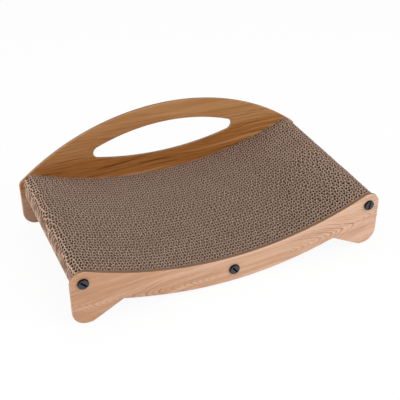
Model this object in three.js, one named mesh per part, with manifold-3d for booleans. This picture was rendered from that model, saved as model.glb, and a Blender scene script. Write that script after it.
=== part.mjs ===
// Cat scratching board: a dished pad of glued corrugated strips, held on edge between a low front panel and a
// tall arched rear panel with a hand grip. Tie tubes run through the pad, and coin-slot screws close them.
// Millimetres, +Z up, +X along the length, front towards -Y. The origin is on the ground, under the middle.

import * as THREE from 'three';
import { mergeVertices } from 'three/addons/utils/BufferGeometryUtils.js';
import Module from 'manifold-3d';

// Panels
const BOARD_LENGTH = 430; // end to end
const BOARD_DEPTH = 234.5; // over the panels' outer faces
const PANEL_THICKNESS = 4;
const DIP_HEIGHT = 38.1; // front panel's top edge, at the middle
const DIP_RISE = 49.6; // how far the top edge's arc climbs from the middle to the ends
const END_CORNER = 16.3; // radius of the front panel's top corners
const BELLY_CLEARANCE = 0.4; // under the lowest point of the belly
const BELLY_RISE = 48.4; // how far the belly's arc climbs from the middle to the ends

// Feet
const FOOT_CORNER = 19; // radius of the outer bottom corner
const FOOT_FLAT = 3.5; // length of the face that stands on the ground
const FOOT_TOE = 8; // radius between that face and the slope of the leg
const FOOT_SLOPE = 28; // degrees, the leg's inner edge against the ground
const NOTCH_RADIUS = 8; // where the leg meets the belly

// Rear panel
const ARCH_HEIGHT = 147.6;
const ARCH_DROP = 78.6; // how far the arch falls from the middle to the ends
const SHOULDER_RADIUS = 9; // corner between the arch and the end
const GRIP_MARGIN = 29.1; // wood above the grip, at the middle
const GRIP_HEIGHT = 48; // grip's opening, at the middle
const GRIP_TOP_RADIUS = 280;
const GRIP_BOTTOM_RADIUS = 425;
const GRIP_END_RADIUS = 9;

// Pad
const STRIP_COUNT = 39; // corrugated boards side by side, which fill the depth between the panels
const GLUE_LINE = 0.3; // between neighbouring strips
const PAD_PROUD = 1.5; // pad's top above the front panel's edge
const PAD_LIFT = 1.2; // pad's underside above the panels' belly
const PAD_END_INSET = 4.8; // pad's ends inside the panels' ends
const PAD_CORNER = 14; // radius of the strips' corners
const CORNER_SHARE = 0.44; // most of a strip's end that one corner may round

// Fasteners
const HEAD_DIAMETER = 14;
const HEAD_HEIGHT = 2.6;
const HEAD_BEVEL = 0.7;
const SLOT_LENGTH = 10.4;
const SLOT_WIDTH = 2;
const SLOT_DEPTH = 1.3;
const SHANK_DIAMETER = 6;
const SHANK_LENGTH = 26; // under the head
const SHANK_TIP = 0.8; // bevel at the shank's end
const TUBE_WALL = 1.8;
const FIT_CLEARANCE = 0.3; // shank in its holes, and tube in the pad
const SEAT_GAP = 0.3; // pad to panels, and heads to panels
const FRONT_SLOT_ANGLES = [-46, -54, 80]; // degrees, left to right, seen from the front
const REAR_SLOT_ANGLES = [22, -64, 51];

// Facets
const LONG_ARC_STEPS = 20; // half of a panel's long arc
const STRIP_ARC_STEPS = 5; // half of a strip's long arc
const CORNER_STEPS = 6;
const STRIP_CORNER_STEPS = 3;
const HOLE_STEPS = 16;
const STRIP_HOLE_STEPS = 8;
const TURNED_STEPS = 20; // round pieces
const SAME_POINT = 1e-4; // points closer than this are one

// Colours
const OAK = { color: 0xcfa585, roughness: 0.55, metalness: 0 };
const KRAFT = { color: 0x8f7868, roughness: 0.9, metalness: 0 };
const BLACK_PLASTIC = { color: 0x2c2e34, roughness: 0.45, metalness: 0 };
const PLAIN_PLASTIC = { color: 0xcfcbc2, roughness: 0.5, metalness: 0 };

// Sizes that follow
const halfLength = BOARD_LENGTH / 2;
const outerFace = BOARD_DEPTH / 2;
const innerFace = outerFace - PANEL_THICKNESS; // panels' inner faces, each side of the middle
const padDepth = 2 * (innerFace - SEAT_GAP);
const stripThickness = (padDepth - (STRIP_COUNT - 1) * GLUE_LINE) / STRIP_COUNT;
const shankHole = SHANK_DIAMETER / 2 + FIT_CLEARANCE;
const tubeRadius = shankHole + TUBE_WALL;
const stripHole = tubeRadius + FIT_CLEARANCE;
const padEnd = halfLength - PAD_END_INSET;

const radians = THREE.MathUtils.degToRad;

// Arcs, as a centre on the board's middle plane and a radius

function arcThrough(rise) {
  return (halfLength ** 2 + rise ** 2) / (2 * rise);
}

const dip = { radius: arcThrough(DIP_RISE) };
dip.z = DIP_HEIGHT + dip.radius;
const belly = { radius: arcThrough(BELLY_RISE) };
belly.z = BELLY_CLEARANCE + belly.radius;
const arch = { radius: arcThrough(ARCH_DROP) };
arch.z = ARCH_HEIGHT - arch.radius;
const padTop = { radius: dip.radius - PAD_PROUD, z: dip.z };
const padBottom = { radius: belly.radius - PAD_LIFT, z: belly.z };

function heightBelow(arc, x) {
  return arc.z - Math.sqrt(arc.radius ** 2 - x ** 2);
}

// Centre of a round corner between an upright end face and an arc. It lies at the given reach from the arc's
// centre: the two radii added where the solid is outside the arc, and their difference where it is inside.
function cornerCentre(arc, end, radius, reach, side) {
  const x = end - radius;
  return { x, z: arc.z + side * Math.sqrt(reach ** 2 - x ** 2), radius };
}

function direction(from, to) {
  return Math.atan2(to.z - from.z, to.x - from.x);
}

function addArc(points, centre, from, to, steps) {
  for (let i = 0; i <= steps; i += 1) {
    const angle = from + ((to - from) * i) / steps;
    const x = centre.x + centre.radius * Math.cos(angle);
    points.push(new THREE.Vector2(x, centre.z + centre.radius * Math.sin(angle)));
  }
}

// Closes a right-hand half outline, which starts and ends on the middle plane, with its mirror image
function mirrored(half) {
  const left = half.slice(1, -1).reverse().map((point) => new THREE.Vector2(-point.x, point.y));
  const all = [...half, ...left];
  return all.filter((point, i) => point.distanceTo(all[(i + 1) % all.length]) > SAME_POINT);
}

const DOWN = -Math.PI / 2;
const UP = Math.PI / 2;

// Right half of the panels' lower edge, from the belly's lowest point to the end face
function lowerEdge() {
  const slope = radians(FOOT_SLOPE);
  const toeReach = FOOT_TOE * Math.tan(slope / 2);
  const heel = { x: halfLength - FOOT_CORNER, z: FOOT_CORNER, radius: FOOT_CORNER };
  const toe = { x: heel.x - FOOT_FLAT, z: FOOT_TOE, radius: FOOT_TOE };
  const legStart = toe.x - toeReach; // where the leg's line would meet the ground

  // The notch's circle touches the leg's line from below and the belly's arc from outside
  const touch = belly.radius + NOTCH_RADIUS;
  const along = new THREE.Vector2(-Math.cos(slope), Math.sin(slope));
  const below = new THREE.Vector2(-Math.sin(slope), -Math.cos(slope));
  const start = new THREE.Vector2(legStart, -belly.z).addScaledVector(below, NOTCH_RADIUS);
  const towards = start.dot(along);
  const run = -towards - Math.sqrt(towards ** 2 - start.lengthSq() + touch ** 2);
  const notch = {
    x: start.x + run * along.x,
    z: start.y + run * along.y + belly.z,
    radius: NOTCH_RADIUS,
  };

  const points = [];
  const bellyCentre = { x: 0, ...belly };
  addArc(points, bellyCentre, DOWN, direction(bellyCentre, notch), LONG_ARC_STEPS);
  addArc(points, notch, direction(notch, bellyCentre), UP - slope, CORNER_STEPS);
  addArc(points, toe, DOWN - slope, DOWN, CORNER_STEPS);
  addArc(points, heel, DOWN, 0, CORNER_STEPS);
  return points;
}

const endCorner = cornerCentre(dip, halfLength, END_CORNER, dip.radius + END_CORNER, -1);

function frontOutline() {
  const dipCentre = { x: 0, ...dip };
  const points = lowerEdge();
  addArc(points, endCorner, 0, direction(endCorner, dipCentre), CORNER_STEPS);
  addArc(points, dipCentre, direction(dipCentre, endCorner), DOWN, LONG_ARC_STEPS);
  return mirrored(points);
}

function rearOutline() {
  const archCentre = { x: 0, ...arch };
  const shoulder = cornerCentre(arch, halfLength, SHOULDER_RADIUS, arch.radius - SHOULDER_RADIUS, 1);
  const points = lowerEdge();
  addArc(points, shoulder, 0, direction(archCentre, shoulder), CORNER_STEPS);
  addArc(points, archCentre, direction(archCentre, shoulder), UP, LONG_ARC_STEPS);
  return mirrored(points);
}

// The grip is the lens between two long arcs, with round ends that touch both
function gripOutline() {
  const topEdge = ARCH_HEIGHT - GRIP_MARGIN;
  const bottomEdge = topEdge - GRIP_HEIGHT;
  const top = { x: 0, z: topEdge - GRIP_TOP_RADIUS, radius: GRIP_TOP_RADIUS };
  const bottom = { x: 0, z: bottomEdge + GRIP_BOTTOM_RADIUS, radius: GRIP_BOTTOM_RADIUS };
  const fromTop = top.radius - GRIP_END_RADIUS;
  const fromBottom = bottom.radius - GRIP_END_RADIUS;
  const apart = bottom.z - top.z;
  const rise = (fromTop ** 2 - fromBottom ** 2 + apart ** 2) / (2 * apart);
  const end = { x: Math.sqrt(fromTop ** 2 - rise ** 2), z: top.z + rise, radius: GRIP_END_RADIUS };
  const points = [];
  addArc(points, bottom, DOWN, direction(bottom, end), LONG_ARC_STEPS);
  addArc(points, end, direction(bottom, end), direction(top, end), CORNER_STEPS);
  addArc(points, top, direction(top, end), UP, LONG_ARC_STEPS);
  return mirrored(points);
}

function stripOutline() {
  const endDepth = heightBelow(padTop, padEnd) - heightBelow(padBottom, padEnd);
  const corner = Math.min(PAD_CORNER, CORNER_SHARE * endDepth);
  const upper = cornerCentre(padTop, padEnd, corner, padTop.radius + corner, -1);
  const lower = cornerCentre(padBottom, padEnd, corner, padBottom.radius - corner, -1);
  const topCentre = { x: 0, ...padTop };
  const bottomCentre = { x: 0, ...padBottom };
  const points = [];
  addArc(points, bottomCentre, DOWN, direction(bottomCentre, lower), STRIP_ARC_STEPS);
  addArc(points, lower, direction(bottomCentre, lower), 0, STRIP_CORNER_STEPS);
  addArc(points, upper, 0, direction(upper, topCentre), STRIP_CORNER_STEPS);
  addArc(points, topCentre, direction(topCentre, upper), DOWN, STRIP_ARC_STEPS);
  return mirrored(points);
}

// The three fastening lines: at the centre of each end corner, and midway up the belly
const fasteners = [
  { side: 'left', x: -endCorner.x, z: endCorner.z },
  { side: 'middle', x: 0, z: (BELLY_CLEARANCE + DIP_HEIGHT) / 2 },
  { side: 'right', x: endCorner.x, z: endCorner.z },
];

// Holes on the fastening lines, whose flats touch the circle of the given radius from outside
function roundHoles(clearRadius, steps) {
  const radius = clearRadius / Math.cos(Math.PI / steps);
  return fasteners.map(({ x, z }) => {
    const points = [];
    addArc(points, { x, z, radius }, 0, (2 * Math.PI * (steps - 1)) / steps, steps - 1);
    return points;
  });
}

// A flat piece cut from a sheet and stood on edge: its front face is at the given place along Y
function standingSheet(name, outline, holes, thickness, frontFace, look) {
  const shape = new THREE.Shape(outline);
  shape.holes = holes.map((points) => new THREE.Path(points));
  const geometry = new THREE.ExtrudeGeometry(shape, { depth: thickness, bevelEnabled: false });
  geometry.rotateX(Math.PI / 2);
  const mesh = new THREE.Mesh(geometry, new THREE.MeshStandardMaterial(look));
  mesh.name = name;
  mesh.position.y = frontFace + thickness;
  return mesh;
}

const wasm = await Module();
wasm.setup();

function toSolid(geometry) {
  const bare = geometry.clone();
  bare.deleteAttribute('normal');
  bare.deleteAttribute('uv');
  const merged = mergeVertices(bare, SAME_POINT);
  const corners = [];
  for (let i = 0; i < merged.index.count; i += 3) {
    const [a, b, c] = [0, 1, 2].map((k) => merged.index.getX(i + k));
    if (a !== b && b !== c && c !== a) corners.push(a, b, c);
  }
  const vertProperties = Float32Array.from(merged.attributes.position.array);
  const triVerts = Uint32Array.from(corners);
  return new wasm.Manifold(new wasm.Mesh({ numProp: 3, vertProperties, triVerts }));
}

function toGeometry(solid) {
  const { vertProperties, triVerts } = solid.getMesh();
  const geometry = new THREE.BufferGeometry();
  geometry.setAttribute('position', new THREE.BufferAttribute(vertProperties, 3));
  geometry.setIndex(new THREE.BufferAttribute(triVerts, 1));
  geometry.computeVertexNormals();
  return geometry;
}

// A screw on the Y axis, head up, with the underside of its head at 0
function screwGeometry() {
  const head = HEAD_DIAMETER / 2;
  const shank = SHANK_DIAMETER / 2;
  const profile = [
    [0, -SHANK_LENGTH],
    [shank - SHANK_TIP, -SHANK_LENGTH],
    [shank, SHANK_TIP - SHANK_LENGTH],
    [shank, 0],
    [head, 0],
    [head, HEAD_HEIGHT - HEAD_BEVEL],
    [head - HEAD_BEVEL, HEAD_HEIGHT],
    [0, HEAD_HEIGHT],
  ].map(([x, y]) => new THREE.Vector2(x, y));
  const body = new THREE.LatheGeometry(profile, TURNED_STEPS);
  const slot = new THREE.BoxGeometry(SLOT_LENGTH, 2 * SLOT_DEPTH, SLOT_WIDTH);
  slot.translate(0, HEAD_HEIGHT, 0);
  return toGeometry(toSolid(body).subtract(toSolid(slot)));
}

// A tube on the Y axis, centred
function tubeGeometry() {
  const half = padDepth / 2;
  const profile = [
    [shankHole, -half],
    [tubeRadius, -half],
    [tubeRadius, half],
    [shankHole, half],
    [shankHole, -half],
  ].map(([x, y]) => new THREE.Vector2(x, y));
  return new THREE.LatheGeometry(profile, TURNED_STEPS);
}

function panels() {
  const holes = roundHoles(shankHole, HOLE_STEPS);
  const front = standingSheet('front_panel', frontOutline(), holes, PANEL_THICKNESS, -outerFace, OAK);
  const rearHoles = [...holes, gripOutline()];
  const rear = standingSheet('rear_panel', rearOutline(), rearHoles, PANEL_THICKNESS, innerFace, OAK);
  return [front, rear];
}

function pad() {
  const outline = stripOutline();
  const holes = roundHoles(stripHole, STRIP_HOLE_STEPS);
  const strips = [];
  for (let i = 0; i < STRIP_COUNT; i += 1) {
    const name = `cardboard_strip_${String(i + 1).padStart(2, '0')}`;
    const frontFace = i * (stripThickness + GLUE_LINE) - padDepth / 2;
    strips.push(standingSheet(name, outline, holes, stripThickness, frontFace, KRAFT));
  }
  return strips;
}

function tieTubes() {
  const geometry = tubeGeometry();
  return fasteners.map(({ side, x, z }) => {
    const mesh = new THREE.Mesh(geometry, new THREE.MeshStandardMaterial(PLAIN_PLASTIC));
    mesh.name = `tie_tube_${side}`;
    mesh.position.set(x, 0, z);
    return mesh;
  });
}

// Screws for one face: facing is -1 at the front and 1 at the rear
function screws(face, facing, slotAngles) {
  const geometry = screwGeometry();
  return fasteners.map(({ side, x, z }, i) => {
    const mesh = new THREE.Mesh(geometry, new THREE.MeshStandardMaterial(BLACK_PLASTIC));
    mesh.name = `${face}_screw_${side}`;
    mesh.position.set(x, facing * (outerFace + SEAT_GAP), z);
    mesh.rotation.set(facing < 0 ? Math.PI : 0, radians(slotAngles[i]), 0);
    return mesh;
  });
}

const board = new THREE.Group();
board.add(...panels());
board.add(...pad());
board.add(...tieTubes());
board.add(...screws('front', -1, FRONT_SLOT_ANGLES));
board.add(...screws('rear', 1, REAR_SLOT_ANGLES));

export default board;
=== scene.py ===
"""Cat scratching board: corrugated strips stood on edge between two wood-print panels.

Coin-slot screws close the panels onto tie tubes that run through the strips. Metres, +Z up, +X along the
length, front towards -Y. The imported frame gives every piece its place.
"""
import math
import random
from typing import NamedTuple

import bmesh
import bpy
from mathutils import Matrix, Vector


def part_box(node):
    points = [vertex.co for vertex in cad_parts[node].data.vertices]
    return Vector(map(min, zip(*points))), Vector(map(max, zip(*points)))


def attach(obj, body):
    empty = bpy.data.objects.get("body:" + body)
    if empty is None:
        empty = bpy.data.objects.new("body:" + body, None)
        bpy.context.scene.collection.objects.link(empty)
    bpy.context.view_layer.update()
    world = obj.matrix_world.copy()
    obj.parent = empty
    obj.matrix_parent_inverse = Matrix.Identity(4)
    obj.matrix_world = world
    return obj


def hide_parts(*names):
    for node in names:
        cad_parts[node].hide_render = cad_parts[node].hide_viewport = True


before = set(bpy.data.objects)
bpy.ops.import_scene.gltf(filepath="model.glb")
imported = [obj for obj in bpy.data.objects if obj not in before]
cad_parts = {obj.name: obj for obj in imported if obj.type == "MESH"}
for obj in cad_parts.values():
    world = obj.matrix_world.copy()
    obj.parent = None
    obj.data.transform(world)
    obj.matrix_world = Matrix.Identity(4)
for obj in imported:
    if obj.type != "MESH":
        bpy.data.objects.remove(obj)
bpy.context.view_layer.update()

bl_info = {
    "name": "Cat Scratching Board",
    "version": (1, 0, 0),
    "blender": (4, 5, 0),
    "location": "View3D > Sidebar > Scratching Board",
    "description": "Dresses the frame of a cat scratching board with its panels, strips and screws",
    "category": "Object",
}

BODY = "root"
FRONT_LOW, FRONT_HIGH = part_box("front_panel")
REAR_LOW, REAR_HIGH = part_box("rear_panel")
STRIP_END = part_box("cardboard_strip_01")[1].x
STRIP_NODES = sorted(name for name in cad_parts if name.startswith("cardboard_strip_"))
TUBE_NODES = sorted(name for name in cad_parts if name.startswith("tie_tube_"))
SIDES = ("left", "middle", "right")


# Settings

def length(name, description, default):
    """A length in metres."""
    return bpy.props.FloatProperty(
        name=name, description=description, default=default, unit="LENGTH", precision=5)


def number(name, description, default):
    """A plain number."""
    return bpy.props.FloatProperty(name=name, description=description, default=default)


def factor(name, description, default):
    """A share from 0 to 1."""
    return bpy.props.FloatProperty(
        name=name, description=description, default=default, subtype="FACTOR", min=0, max=1)


def count(name, description, default):
    """A whole number."""
    return bpy.props.IntProperty(name=name, description=description, default=default)


def angle(name, description, degrees):
    """An angle, written in degrees."""
    return bpy.props.FloatProperty(
        name=name, description=description, default=math.radians(degrees), subtype="ANGLE")


def angles(name, description, *degrees):
    """Angles of like pieces, written in degrees."""
    turns = [math.radians(value) for value in degrees]
    return bpy.props.FloatVectorProperty(name=name, description=description, default=turns, subtype="EULER")


def colour(name, description, red, green, blue):
    """A colour, written as it looks on a screen, from 0 to 255."""
    linear = [to_linear(value / 255) for value in (red, green, blue)]
    return bpy.props.FloatVectorProperty(
        name=name, description=description, default=(*linear, 1.0), subtype="COLOR", size=4, min=0, max=1)


def to_linear(value):
    """Screen value from 0 to 1 as linear light."""
    if value <= 0.04045:
        return value / 12.92
    return ((value + 0.055) / 1.055) ** 2.4


class PanelSettings(bpy.types.PropertyGroup):
    """Outlines and edges of the two panels."""

    dip_height: length("Dip height", "Front panel's top edge, at the middle", 0.0381)
    dip_rise: length("Dip rise", "Climb of the front panel's top edge to its ends", 0.0496)
    end_corner: length("End corner", "Radius of the front panel's top corners", 0.0163)
    belly_clearance: length("Belly clearance", "Under the lowest point of the belly", 0.0004)
    belly_rise: length("Belly rise", "Climb of the belly to the ends", 0.0484)
    foot_corner: length("Foot corner", "Radius of a foot's outer corner", 0.0190)
    foot_flat: length("Foot flat", "Length of the face that stands on the ground", 0.0035)
    foot_toe: length("Foot toe", "Radius between the flat and the leg's slope", 0.0080)
    foot_slope: angle("Foot slope", "Leg's inner edge against the ground", 28.0)
    notch: length("Notch", "Radius where the leg meets the belly", 0.0080)
    arch_drop: length("Arch drop", "Fall of the arch to the ends", 0.0786)
    shoulder: length("Shoulder", "Radius between the arch and the end", 0.0090)
    grip_margin: length("Grip margin", "Wood above the hand grip, at the middle", 0.0291)
    grip_height: length("Grip height", "Hand grip's opening, at the middle", 0.0480)
    grip_top: length("Grip top", "Radius of the grip's upper edge", 0.2800)
    grip_bottom: length("Grip bottom", "Radius of the grip's lower edge", 0.4250)
    grip_end: length("Grip end", "Radius of the grip's ends", 0.0090)
    screw_hole: length("Screw hole", "Radius of the holes for the screws", 0.0033)
    hole_sides: count("Hole sides", "Stretches round a hole at the ends", 24)
    edge_round: length("Edge round", "Radius of the rounded edges", 0.0008)
    edge_steps: count("Edge steps", "Stretches across a rounded edge", 3)
    arc_step: length("Arc step", "Longest straight stretch of a round edge", 0.0030)
    turn_step: angle("Turn step", "Widest turn between two stretches", 6.0)


class StripSettings(bpy.types.PropertyGroup):
    """Paper and flutes of the corrugated strips."""

    top_proud: length("Top proud", "Strips' top above the front panel's edge", 0.0015)
    bottom_lift: length("Bottom lift", "Strips' underside above the belly", 0.0012)
    corner: length("Corner", "Radius of the strips' round ends", 0.0140)
    liner: length("Liner", "Thickness of the flat facing papers", 0.00016)
    medium: length("Medium", "Thickness of the fluted paper", 0.0008)
    flute: length("Flute", "Length of one wave", 0.00717)
    press: length("Press", "How far the waves' crests are pressed into the liners", 0.0002)
    steepness: number("Steepness", "How square the waves are", 3.0)
    wander: length("Wander", "How far the waves wander along the strip", 0.0003)
    wander_short: length("Wander short", "Least length over which the waves wander", 0.05)
    wander_long: length("Wander long", "Greatest length over which the waves wander", 0.12)
    crush: length("Crush", "How far a wave is pushed along the strip by the cut", 0.0005)
    end_rib: length("End rib", "How far the last flute bulges at a strip's end", 0.0030)
    end_recess: length("End recess", "How far the last flute may stand back from a strip's end", 0.0006)
    end_tear: length("End tear", "How far the last flute is torn down from its top, on the whole", 0.0040)
    rib_points: count("Rib points", "Straight stretches across the last flute", 8)
    ragged: length("Ragged", "Unevenness of the cut height, strip to strip", 0.00018)
    wave_points: count("Wave points", "Straight stretches in one wave", 14)
    liner_points: count("Liner points", "Stretches along a liner", 150)
    # The next four set the painted shade on the paper: where the pale cut fades into the shaded wall, where
    # the flutes darken, and how fast they darken in from the open ends
    rim_depth: length("Rim depth", "Depth at which the paper's pale cut has faded", 0.0005)
    shade_start_depth: length("Shade start depth", "Depth at which the flutes start to darken", 0.0018)
    shade_full_depth: length("Shade full depth", "Depth at which the flutes are darkest", 0.0030)
    end_shade_share: factor("End shade share", "How fast the flutes darken from the open ends", 0.4)
    speck_share: factor("Speck share", "How far the specks go to the darker fibres", 0.5)
    fresh_share: factor("Fresh share", "Share of strips cut from another sheet", 0.35)
    slip: angle("Slip", "Turn of the wave between two strips of one sheet", 25.0)
    punch_gap: length("Punch gap", "Room round the tie tubes in the punched holes", 0.0004)
    punch_sides: count("Punch sides", "Stretches round a punched hole", 12)
    seed: count("Seed", "Start of the random draws", 7)


class ScrewSettings(bpy.types.PropertyGroup):
    """Heads, slots and shanks of the screws."""

    head: length("Head", "Diameter of the head", 0.0140)
    head_height: length("Head height", "Height of the head", 0.0026)
    head_round: length("Head round", "Rounding of the head's rim", 0.0007)
    head_steps: count("Head steps", "Stretches across the rounded rim", 4)
    slot_length: length("Slot length", "Length of the coin slot", 0.0104)
    slot_width: length("Slot width", "Width of the coin slot", 0.0022)
    slot_depth: length("Slot depth", "Depth of the coin slot", 0.0013)
    slot_steps: count("Slot steps", "Stretches in half of the slot's round floor", 4)
    shank: length("Shank", "Diameter of the shank", 0.0060)
    shank_tip: length("Shank tip", "Bevel at the shank's end", 0.0008)
    turn_count: count("Turn count", "Stretches round the screw", 48)
    front_angles: angles("Front angles", "Slots' turns, left to right, seen from the front", -46, -54, 80)
    rear_angles: angles("Rear angles", "The same at the rear, seen from the front", 22, -64, 51)


class FinishSettings(bpy.types.PropertyGroup):
    """Colours of the materials."""

    oak_pale: colour("Oak pale", "Palest wood of the outer print", 228, 187, 159)
    oak_body: colour("Oak body", "Main wood of the outer print", 203, 154, 119)
    oak_line: colour("Oak line", "Growth lines of the outer print", 160, 112, 82)
    inner_pale: colour("Inner pale", "Palest wood of the inner print", 199, 146, 95)
    inner_body: colour("Inner body", "Main wood of the inner print", 184, 127, 76)
    inner_line: colour("Inner line", "Growth lines of the inner print", 118, 66, 22)
    # Partly the print's heartwood and partly painted shade from the strips below it
    inner_heart_and_shade: colour("Inner heart and shade", "Heartwood low on the inner print", 174, 112, 54)
    inner_sap: colour("Inner sap", "Sapwood at the ends of the inner print", 202, 160, 136)
    edge_board: colour("Edge board", "Cut edge of the panels", 136, 107, 84)
    edge_dark: colour("Edge dark", "Darker fibres of the panels' cut edge", 104, 78, 58)
    kraft: colour("Kraft", "Cut edges of the strips' paper", 181, 155, 138)
    kraft_dark: colour("Kraft dark", "Darker fibres of the paper", 156, 129, 110)
    # Painted shade on the paper: the wall colour just under the cut is partly the paper's own darker face
    # and partly painted shade, and the colour deep in the flutes is painted shade
    flute_wall_with_shade: colour("Flute wall with shade", "Faces of the paper, just under the cut", 155, 128, 109)
    flute_painted_shade: colour("Flute painted shade", "Paper deep down in the flutes", 72, 53, 41)
    black: colour("Black", "Plastic of the screws", 7, 7, 8)
    # The heads' faces are the same black plastic: their paler colour is painted sheen from the lights
    screw_face_painted_sheen: colour("Screw face painted sheen", "Matt face of the screws' heads", 48, 50, 58)
    tube: colour("Tube", "Plastic of the tie tubes", 207, 203, 192)


class StageSettings(bpy.types.PropertyGroup):
    """Floor, lights and camera."""

    floor: colour("Floor", "Colour of the floor", 244, 244, 244)
    floor_size: length("Floor size", "Side of the floor", 30.0)
    floor_glow: factor("Floor glow", "How far the floor shows white to the camera", 0.93)
    ambient: number("Ambient", "Strength of the even light", 0.39)
    lens: number("Lens", "Focal length in millimetres", 75.98)
    camera_place: bpy.props.FloatVectorProperty(
        name="Camera place", description="Where the camera stands", subtype="TRANSLATION", unit="LENGTH",
        default=(-0.38898, -0.87149, 0.69809))
    camera_pitch: angle("Camera pitch", "Camera's look below the horizon", 34.05)
    camera_turn: angle("Camera turn", "Camera's turn to the left about Z", -24.33)


# Node helpers

FLOAT = "NodeSocketFloat"
COLOUR = "NodeSocketColor"
VECTOR = "NodeSocketVector"
WHITE = (1.0, 1.0, 1.0, 1.0)
MILLIMETRES = 1000.0


def feed(tree, node, inputs):
    """Gives a node its inputs. An input is a value, or an output socket to link."""
    for key, value in inputs.items():
        if isinstance(value, bpy.types.NodeSocket):
            tree.links.new(value, node.inputs[key])
        else:
            node.inputs[key].default_value = value


def put(tree, kind, inputs=None, **settings):
    """Adds a node with its settings and inputs."""
    made = tree.nodes.new(kind)
    for key, value in settings.items():
        setattr(made, key, value)
    feed(tree, made, inputs or {})
    return made


def maths(tree, operation, first, second=0.0, third=0.0, clamp=False):
    """One step of arithmetic, as a socket."""
    made = put(tree, "ShaderNodeMath", {0: first, 1: second, 2: third}, operation=operation, use_clamp=clamp)
    return made.outputs[0]


def times(tree, first, second):
    """Two values multiplied."""
    return maths(tree, "MULTIPLY", first, second)


def minus(tree, first, second):
    """One value less another."""
    return maths(tree, "SUBTRACT", first, second)


def times_plus(tree, first, second, third, clamp=False):
    """Two values multiplied, with a third added."""
    return maths(tree, "MULTIPLY_ADD", first, second, third, clamp)


def without_sign(tree, value):
    """How far a value is from 0."""
    return maths(tree, "ABSOLUTE", value)


def rounded(tree, value, radius):
    """How far a value is from 0, rounded off near 0."""
    return maths(tree, "SQRT", times_plus(tree, value, value, radius ** 2))


def blend_colours(tree, share, first, second, mode="MIX"):
    """Two colours mixed by a share, as a socket."""
    # The node has sockets for each kind of value. Those for colours are inputs 6 and 7, and output 2
    made = put(tree, "ShaderNodeMix", {0: share, 6: first, 7: second}, data_type="RGBA", blend_type=mode)
    return made.outputs[2]


def span(tree, value, low, high, to_low=0.0, to_high=1.0):
    """A value's range stretched to another, smoothly and clamped."""
    made = put(tree, "ShaderNodeMapRange", {0: value, 1: low, 2: high, 3: to_low, 4: to_high},
               interpolation_type="SMOOTHSTEP")
    return made.outputs[0]


def fade(tree, value, low, high):
    """1 up to a low value, and 0 from a high one."""
    return span(tree, value, low, high, to_low=1.0, to_high=0.0)


def in_millimetres(tree, place):
    """A place in millimetres."""
    made = put(tree, "ShaderNodeVectorMath", {0: place, "Scale": MILLIMETRES}, operation="SCALE")
    return made.outputs[0]


def noise(tree, place, stretch, detail=2.0, roughness=0.5):
    """Noise over a place in millimetres. The stretch gives its grains per millimetre on each axis."""
    moved = put(tree, "ShaderNodeVectorMath", {0: place, 1: stretch}, operation="MULTIPLY")
    made = put(tree, "ShaderNodeTexNoise",
               {"Vector": moved.outputs[0], "Scale": 1.0, "Detail": detail, "Roughness": roughness})
    return made.outputs["Fac"]


def noise_about_zero(tree, place, stretch, detail, roughness=0.5):
    """The same noise, with its middle at 0."""
    return minus(tree, noise(tree, place, stretch, detail, roughness), 0.5)


def new_group(name, inputs, outputs):
    """An empty shader node group with named sockets: its tree, what it is given and its output node."""
    tree = bpy.data.node_groups.new(name, "ShaderNodeTree")
    for label, kind, value in inputs:
        socket = tree.interface.new_socket(label, in_out="INPUT", socket_type=kind)
        socket.default_value = value
    for label, kind in outputs:
        tree.interface.new_socket(label, in_out="OUTPUT", socket_type=kind)
    return tree, tree.nodes.new("NodeGroupInput").outputs, tree.nodes.new("NodeGroupOutput")


PRINT_COLOURS = ("Pale", "Body", "Line", "Heart", "Sap")
# Where each print's grain lies on its panel, in millimetres and shares. The drift per millimetre along X is
# painted light: it makes the tone darker to the left and paler to the right
OUTER_PRINT = {
    "Sap From": 1000.0, "Heart Top": -100.0, "Roll Place": 2002.0,
    "Flame X": 20.0, "Flame Z": 14.0, "Flame Lean": 0.06, "Flame Bend": 0.0006, "Flame Reach": 30.0,
    "Tip Pitch": 8.5, "Arm Slope": 3.0, "Wobble": 16.0,
    "Line Share": 0.8, "Streak Share": 0.5, "Drift": -0.0021,
}
# The inner print's band under its top mark is part heartwood and part painted shade from the strips
INNER_PRINT = {
    "Sap From": 184.0, "Heart Top": 88.0, "Roll Place": 143.0,
    "Flame X": -260.0, "Flame Z": 40.0, "Flame Lean": 0.0, "Flame Bend": 0.0, "Flame Reach": 110.0,
    "Tip Pitch": 70.0, "Arm Slope": 13.0, "Wobble": 14.0,
    "Line Share": 0.4, "Streak Share": 0.9, "Drift": -0.001,
}


class Wood:
    """What both prints share: grains per millimetre on X, Y and Z, lengths in millimetres, and shares."""

    meander = (0.01, 0.0, 0.02)
    jags = (0.06, 0.0, 0.4)
    patches = (0.02, 0.0, 0.05)
    bands = (0.005, 0.0, 0.09)
    streaks = (0.006, 0.0, 0.3)
    gleams = (0.005, 0.0, 0.2)
    fibres = (0.04, 0.0, 0.7)
    pores = (0.11, 0.0, 1.6)
    tip_round = 15.0
    arm_round = 3.0
    jag_share = 0.9
    faintest_line = 0.3
    full_flame = 0.5
    plain_streak = 0.3
    fibre_tone = 0.36
    darkest_fibre = 0.82
    pore_tone = 0.25
    pore_depth = 0.6


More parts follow.
